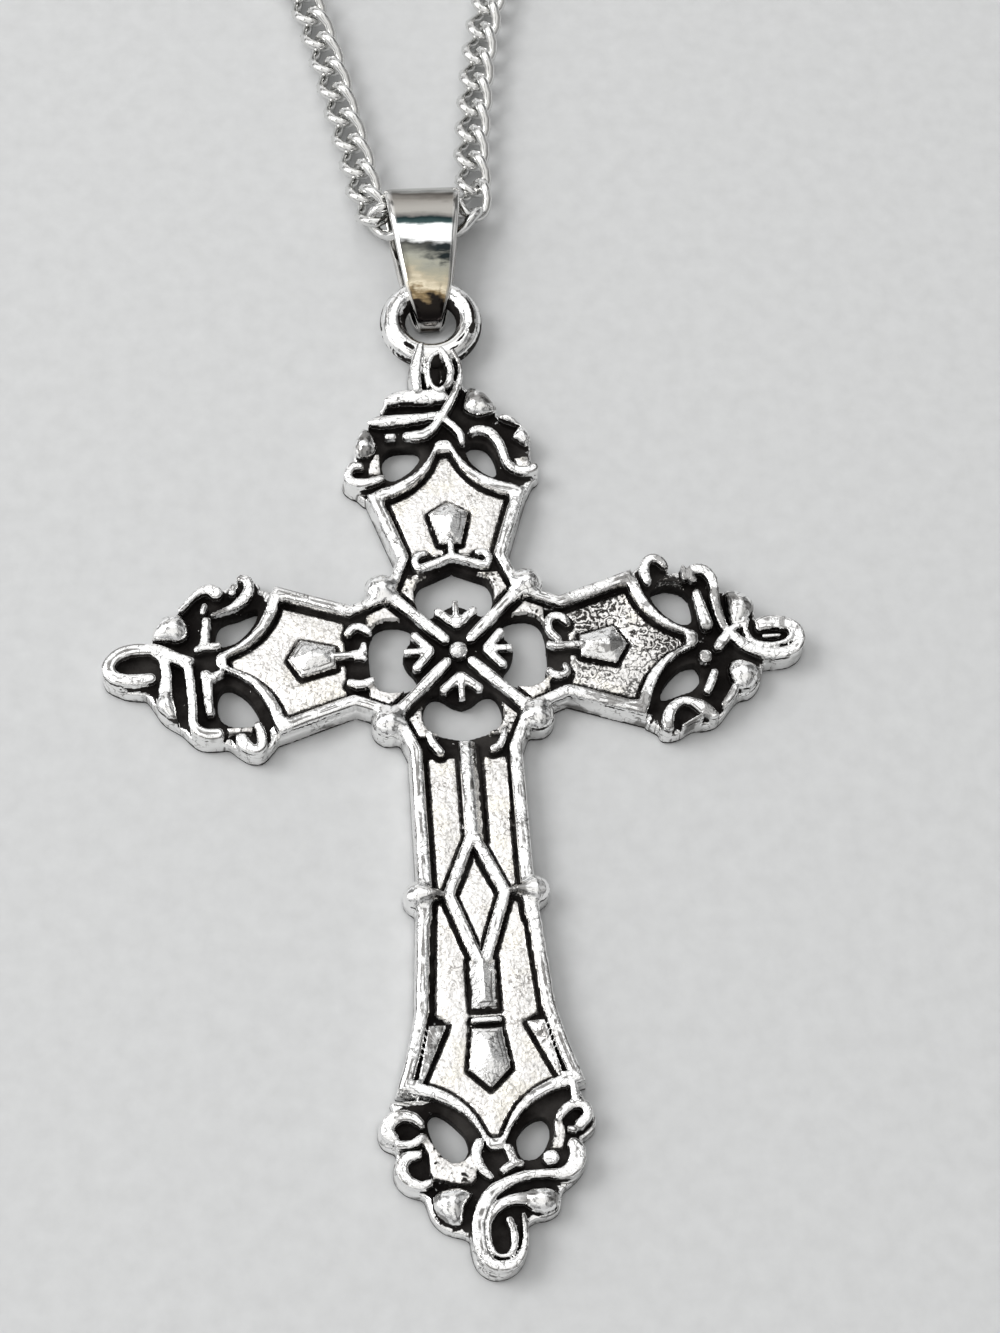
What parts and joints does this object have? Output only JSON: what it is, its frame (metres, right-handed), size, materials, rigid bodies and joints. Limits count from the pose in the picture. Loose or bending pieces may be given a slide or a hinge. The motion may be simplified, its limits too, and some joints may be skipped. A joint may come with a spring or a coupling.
{
  "type": "cross pendant",
  "caption": "Antiqued silver openwork cross pendant with scrollwork ends and hanging ring, on a folded bail and a fastened curb chain, laid flat on its back.",
  "frame": {"origin": "crossing of the cross's arms, on the flat back face that it lies on", "axes": "+Y runs up the cross's long arm to the hanging ring, bail and chain; +Z points out of the decorated front; +X to the right seen from the front"},
  "size_m": [0.0986, 0.2692, 0.0044],
  "materials": {
    "antique_silver": "cast alloy plated in antique silver: bright worn relief, near-black oxidised grooves, frosted panels",
    "polished_steel": "mirror-polished sheet metal",
    "bright_chain": "bright plated wire"
  },
  "bodies": {
    "root": {"cross": "antique_silver", "bail": "polished_steel", "chain": "bright_chain", "ring_left": "bright_chain", "ring_right": "bright_chain", "clasp": "bright_chain"}
  },
  "joints": []
}
